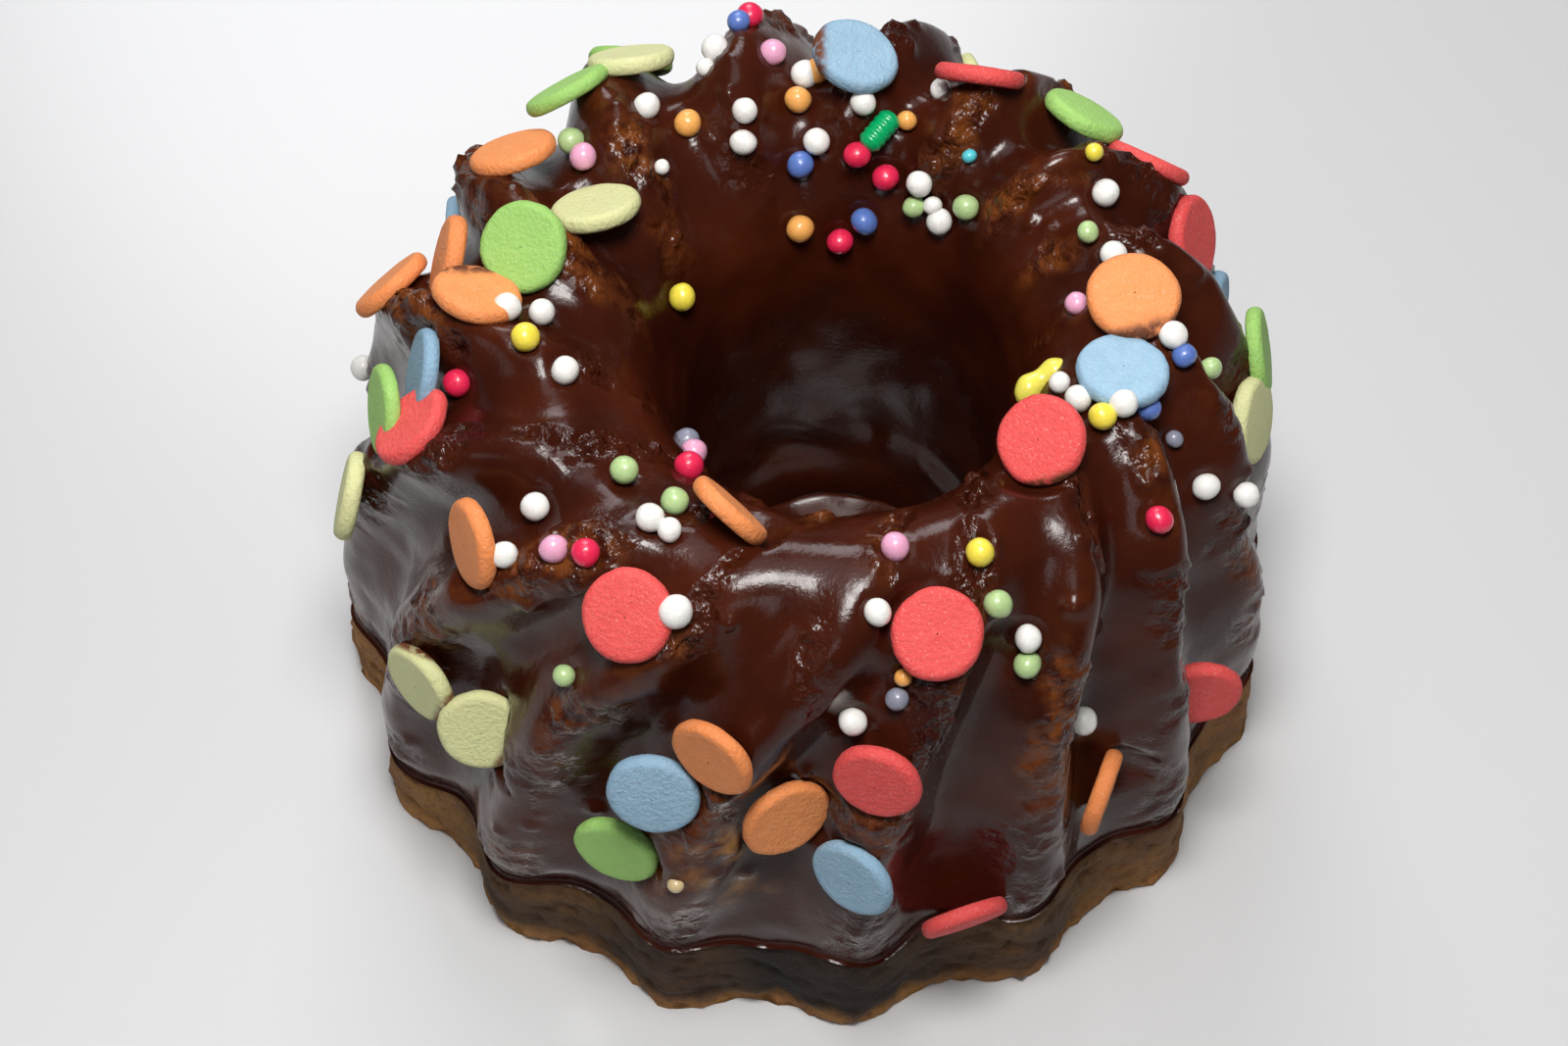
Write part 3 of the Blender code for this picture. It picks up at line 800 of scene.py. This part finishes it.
def glaze_skin(discs, pearls):
    """The glazed surface, with the relief of the crumb along its ridges."""
    in_hole = np.linspace(HOLE_FOOT, HOLE_SHARE, ROWS_IN_HOLE + 1)[:-1]
    outside = np.append(np.linspace(0.0, LIP_START, ROWS_OUTSIDE), LIP_ROWS)
    turns = np.arange(COLUMNS) * 360.0 / COLUMNS
    edge = glaze_edge(turns)
    share = HOLE_SHARE + outside[:, None] * (edge - HOLE_SHARE)
    share = np.concatenate([in_hole[:, None] + 0 * edge, share])
    azimuth = azimuth_of_turn(turns, share)
    to_edge = ((edge - share) * SECTION_LENGTH).ravel()
    grid = surface(azimuth, share)
    across = np.roll(grid, -1, 1) - np.roll(grid, 1, 1)
    normals = np.cross(across, np.gradient(grid, axis=0))
    normals /= np.linalg.norm(normals, axis=-1, keepdims=True)
    points = grid.reshape(-1, 3)
    azimuth = azimuth.ravel()
    share = share.ravel()
    lift, rough, thin = glaze_relief(points, azimuth, share)
    lift *= smooth(0.0, EDGE_REACH, to_edge)
    rounding = 1 - np.clip(to_edge / LIP_WIDTH, 0.0, 1.0)
    lift += LIP_LIFT * np.sqrt(1 - rounding**2) * np.exp(-to_edge / LIP_FADE)
    for rows in pearls.values():
        for _, middle, _, size in rows:
            gap = np.linalg.norm(points - np.array(middle), axis=1) - PEARL_RADIUS * size
            lift += CUFF_LIFT * np.exp(-((gap / CUFF_WIDTH) ** 2))
    bare = bare_crumb(points, azimuth, share)
    points = points + normals.reshape(-1, 3) * lift[:, None]
    press_under(points, discs)
    points[:, 2] = np.maximum(points[:, 2], 0.0)
    faces = ring_faces(len(share) // COLUMNS, COLUMNS)
    values = {"thin": thin, "bare": bare, "rough": rough}
    look = glaze_look("chocolate_glaze")
    return add_piece("glazed_crown", points, faces, look, values)


def glaze_pool():
    """The glaze that ran down the hole and set round its foot, with an open middle."""
    turns = np.arange(POOL_COLUMNS) * 2 * math.pi / POOL_COLUMNS
    lip = np.radians(np.arange(-90, 91, 30))
    under = np.array([0.0, 0.5])
    over = np.linspace(0.9, 0.0, 12)
    across = np.concatenate([under, 1 - POOL_LIP + POOL_LIP * np.cos(lip), over])[:, None]
    climb = POOL_DEPTH + (POOL_CLIMB - POOL_DEPTH) * np.exp(-over / POOL_CLIMB_REACH)
    height = np.concatenate([0 * under, POOL_DEPTH / 2 * (1 + np.sin(lip)), climb])[:, None]
    edge = np.stack([np.cos(turns), np.sin(turns), 0 * turns], -1)
    outer = SECTION[0][0] * MM + POOL_INTO_WALL
    wander = 1 + POOL_WANDER * lumps(edge, POOL_WANDER_WIDTH, SEEDS["pool edge"])
    radius = outer - across * (POOL_REACH + POOL_INTO_WALL) * wander
    height = height + 0 * radius
    points = np.stack([radius * edge[:, 0] + AXIS.x + HOLE_SHIFT, radius * edge[:, 1] + AXIS.y,
                       height], -1).reshape(-1, 3)
    points[:, 2] *= 1 + POOL_SWELL * lumps(points, POOL_SWELL_WIDTH, SEEDS["pool top"])
    faces = ring_faces(len(across), POOL_COLUMNS, closed=True)
    values = dict.fromkeys(("thin", "bare", "rough"), np.zeros(len(points)))
    look = glaze_look("pooled_glaze")
    return add_piece("glaze_pool", points, faces, look, values)


def baked_foot():
    """The unglazed foot and base, of porous baked crumb, painted dark in front as shade and
    chocolate soak.
    """
    columns = COLUMNS // 2
    turns = np.arange(columns) * 360.0 / columns
    edge = glaze_edge(turns)
    top = edge - FOOT_TUCK / SECTION_LENGTH
    share = top + np.linspace(0.0, 1.0, FOOT_ROWS)[:, None] * (OUTER_FOOT - top)
    azimuth = azimuth_of_turn(turns, share)
    wall = surface(azimuth, share)
    outward = wall * (1, 1, 0) - np.array(AXIS)
    outward /= np.linalg.norm(outward, axis=-1, keepdims=True)
    flat = wall.reshape(-1, 3)
    pits = FOOT_PITS * smooth(0.2, 0.9, lumps(flat, FOOT_PIT_WIDTH, SEEDS["foot pits"]))
    relief = FOOT_RELIEF * (lumps(flat, FOOT_WIDTH, SEEDS["foot"]) - pits)
    open_air = smooth(*TUCK_OPENS, (share - edge) * SECTION_LENGTH)
    offset = (relief.reshape(share.shape) - FOOT_SINK) * open_air - TUCK_DEPTH * (1 - open_air)
    wall += outward * offset[..., None]
    hole = surface(azimuth_of_turn(turns, HOLE_FOOT), HOLE_FOOT)
    inward = np.linspace(0.0, 1.0, BASE_ROWS + 1)[1:, None, None]
    base = wall[-1] * (1 - inward) + hole * inward
    points = np.concatenate([wall, base]).reshape(-1, 3)
    from_rim = 1 - smooth(*BASE_RIM_PARTS, np.hypot(points[:, 0], points[:, 1]) / BASE_RIM)
    base_pores = grains(points, BASE_PORE_WIDTH, SEEDS["base pores"]) - BASE_PORE_GAP
    on_base = points[:, 2] < 1e-6
    points[:, 2] += np.clip(base_pores, 0.0, 1.0) * BASE_PORE_DEPTH * on_base * from_rim
    # The front of the foot is darkened as painted shade under the glaze's lip, and as chocolate
    # soak
    around = np.degrees(np.arctan2(points[:, 1], points[:, 0])) - SHADE_SOAK_TOWARDS
    wander = SHADE_SOAK_WANDER * lumps(points, SHADE_SOAK_WIDTH, SEEDS["shade_and_soak"])
    around = (around + 180) % 360 - 180 + wander
    shade_and_soak = np.exp(-((around / SHADE_SOAK_REACH) ** 2)) * smooth(0.0, SHADE_SOAK_RISE, points[:, 2])
    faces = ring_faces(len(points) // columns, columns)
    values = {"shade_and_soak": shade_and_soak}
    return add_piece("baked_foot", points, faces, crumb_look(), values)


def disc_form(draw):
    """One pressed disc about the origin, facing +Z: its points, and 1 at its rim and 0 inside."""
    radius = DISC_RADIUS * draw.uniform(*DISC_RADII)
    half = DISC_THICKNESS / 2 * draw.uniform(*DISC_THICKNESSES)
    dome = draw.uniform(*DISC_DOMES) * MM
    flat = radius - DISC_EDGE
    rounding = np.radians(np.linspace(-90, 90, 11))
    inner = flat * np.array([0.02, 0.3, 0.55, 0.75, 0.9])
    reach = np.concatenate([inner, flat + DISC_EDGE * np.cos(rounding), inner[::-1]])
    height = half * np.concatenate([-np.ones(5), np.sin(rounding), np.ones(5)])
    height += np.where(height > 0, dome * (1 - (reach / radius) ** 2), 0.0)
    turn = np.arange(DISC_SEGMENTS) * 2 * math.pi / DISC_SEGMENTS
    wave = 1.0
    for count, size in DISC_WAVES:
        wave = wave + size * np.sin(count * turn + draw.uniform(0, 6))
    across = reach[:, None] * wave
    height = height[:, None] + 0 * across
    points = np.stack([across * np.cos(turn), across * np.sin(turn), height], -1).reshape(-1, 3)
    outward = points / np.linalg.norm(points, axis=1, keepdims=True)
    uneven = DISC_LUMPS * lumps(points, DISC_LUMP_WIDTH, draw.uniform(0, 90))
    rim = np.repeat(smooth(*RIM_PARTS, reach / radius), DISC_SEGMENTS)
    return points + outward * uneven[:, None], rim


def placed(points, matrix):
    """Points of something about the origin, carried by a matrix."""
    turn = np.array(matrix.to_3x3())
    return points @ turn.T + np.array(matrix.translation)


def stain_of(colour, number, points, middle):
    """How far glaze has crept onto a disc at each of its points, from 0 to 1."""
    stain = np.zeros(len(points))
    for stained, which, side, width in STAINS:
        if (stained, which) == (colour, number):
            turn = math.radians(side)
            image_side = Vector((math.cos(turn), 0.0, 0.0)) + math.sin(turn) * Vector(IMAGE_UP)
            lean = (points - np.array(middle)) @ np.array(image_side) / DISC_RADIUS
            reach = np.abs(lean).max()
            stain = np.maximum(stain, smooth(1 - width, 1 - 0.5 * width, lean / reach))
    return stain


def add_confetti(colour, rows):
    """All discs of one colour as one piece, each with a tint of its own."""
    draw = random.Random(f"confetti {colour}")
    parts = []
    faces = []
    values = {"own": [], "rim": [], "stain": []}
    for index, (number, middle, facing, _) in enumerate(rows):
        points, rim = disc_form(draw)
        points = placed(points, turned_to(middle, facing, draw.uniform(0, 360)))
        disc_faces = ring_faces(len(points) // DISC_SEGMENTS, DISC_SEGMENTS)
        parts.append(points)
        faces.append(disc_faces + index * len(points))
        values["own"].append(np.full(len(points), draw.random()))
        values["rim"].append(rim)
        values["stain"].append(stain_of(colour, number, points, middle))
    values = {key: np.concatenate(numbers) for key, numbers in values.items()}
    look = disc_look(colour, *DISC_COLOURS[colour])
    name = f"confetti_{colour}"
    points = np.concatenate(parts)
    return add_piece(name, points, np.concatenate(faces), look, values)


def ball_form(rows, segments):
    """A round ball of radius 1 about the origin, as rows of points from -Z to +Z."""
    rise = np.radians(np.linspace(-89, 89, rows))[:, None]
    turn = np.arange(segments) * 2 * math.pi / segments
    points = np.stack([np.cos(rise) * np.cos(turn), np.cos(rise) * np.sin(turn),
                       np.sin(rise) + 0 * turn], -1)
    return points.reshape(-1, 3)


def add_pearls(colour, rows):
    """All pearls of one colour as one piece."""
    draw = random.Random(f"pearls {colour}")
    form = ball_form(PEARL_ROWS, PEARL_SEGMENTS)
    parts = []
    faces = []
    for index, (_, middle, facing, size) in enumerate(rows):
        uneven = np.array([draw.uniform(*PEARL_SIZES) for _ in range(3)])
        swelling = 1 + PEARL_LUMPS * lumps(form, PEARL_LUMP_WIDTH, draw.uniform(0, 90))
        points = form * uneven * PEARL_RADIUS * size * swelling[:, None]
        parts.append(placed(points, turned_to(middle, facing, draw.uniform(0, 360))))
        faces.append(ring_faces(PEARL_ROWS, PEARL_SEGMENTS) + index * len(form))
    look = pearl_look(colour, PEARL_COLOURS[colour])
    name = f"pearls_{colour}"
    return add_piece(name, np.concatenate(parts), np.concatenate(faces), look)


def add_strand(colour, azimuth, share, towards, elevation, heading, length):
    """A short strand with round ends, ribbed across or bent about its middle."""
    ribs, rib_count, bend = STRAND_FORMS[colour]
    along = np.linspace(-1.0, 1.0, STRAND_ROWS)
    girth = STRAND_RADIUS * (1 - np.abs(along) ** 7) ** 0.5
    girth = girth * (1 + ribs * np.cos(along * rib_count * math.pi))
    girth[[0, -1]] = STRAND_TIP
    turn = np.arange(STRAND_SEGMENTS) * 2 * math.pi / STRAND_SEGMENTS
    points = np.stack([along[:, None] * length / 2 + 0 * turn,
                       girth[:, None] * np.cos(turn) + bend * (1 - along[:, None] ** 2),
                       girth[:, None] * np.sin(turn)], -1).reshape(-1, 3)
    facing = direction(towards, elevation)
    spot = Vector(surface(azimuth, share)) + facing * STRAND_RADIUS * STRAND_LIFT
    points = placed(points, turned_to(spot, facing, heading))
    look = pearl_look(f"strand_{colour}", STRAND_COLOURS[colour], 0.25)
    faces = ring_faces(STRAND_ROWS, STRAND_SEGMENTS)
    return add_piece(f"strand_{colour}", points, faces, look)


def add_light(name, spot, aim, size, power, colour):
    """A round area light at a spot, turned to what it aims at."""
    lamp = bpy.data.lights.new(name, "AREA")
    lamp.shape = "DISK"
    lamp.size = size
    lamp.energy = power
    lamp.color = colour
    made = bpy.data.objects.new(name, lamp)
    made.matrix_world = turned_to(spot, spot - aim)
    bpy.context.scene.collection.objects.link(made)


def studio():
    """A pale floor, the photograph's flash and camera, and soft light all round."""
    mesh = bpy.data.meshes.new("floor")
    half = FLOOR_HALF
    corners = [(-half, -half, 0), (half, -half, 0), (half, half, 0), (-half, half, 0)]
    mesh.from_pydata(corners, [], [(0, 1, 2, 3)])
    floor = bpy.data.objects.new("floor", mesh)
    look, _, shader = new_look("pale_floor")
    set_inputs(shader, base_color=(*FLOOR_COLOUR, 1.0), roughness=0.22)
    mesh.materials.append(look)
    bpy.context.scene.collection.objects.link(floor)
    world = bpy.data.worlds.new("room")
    world.use_nodes = True
    sky = world.node_tree.nodes["Background"]
    sky.inputs["Color"].default_value = (*SKY_COLOUR, 1.0)
    sky.inputs["Strength"].default_value = SKY_STRENGTH
    bpy.context.scene.world = world
    middle = Vector((0.0, 0.0, AIM_HEIGHT))
    add_light("flash", AXIS + FLASH_SPOT, middle, *FLASH)
    for name, (azimuth, elevation, away, *rest) in LIGHTS.items():
        add_light(name, middle + away * direction(azimuth, elevation), middle, *rest)
    camera = bpy.data.cameras.new("camera")
    camera.lens = CAMERA_LENS
    camera.clip_start = 0.01
    made = bpy.data.objects.new("camera", camera)
    made.location = AXIS + CAMERA_SPOT
    made.rotation_euler = (math.radians(CAMERA_TILT), 0.0, 0.0)
    bpy.context.scene.collection.objects.link(made)
    bpy.context.scene.camera = made
    bpy.context.scene.view_settings.view_transform = "Standard"


def build():
    """Makes every piece of the cake, then the studio round it."""
    discs, pearls = all_sprinkles()
    glaze_skin(discs, pearls)
    glaze_pool()
    baked_foot()
    for colour, rows in discs.items():
        add_confetti(colour, rows)
    for colour, rows in pearls.items():
        add_pearls(colour, rows)
    for colour, (*seat, length) in STRANDS.items():
        add_strand(colour, *seat, length * MM)
    studio()


build()
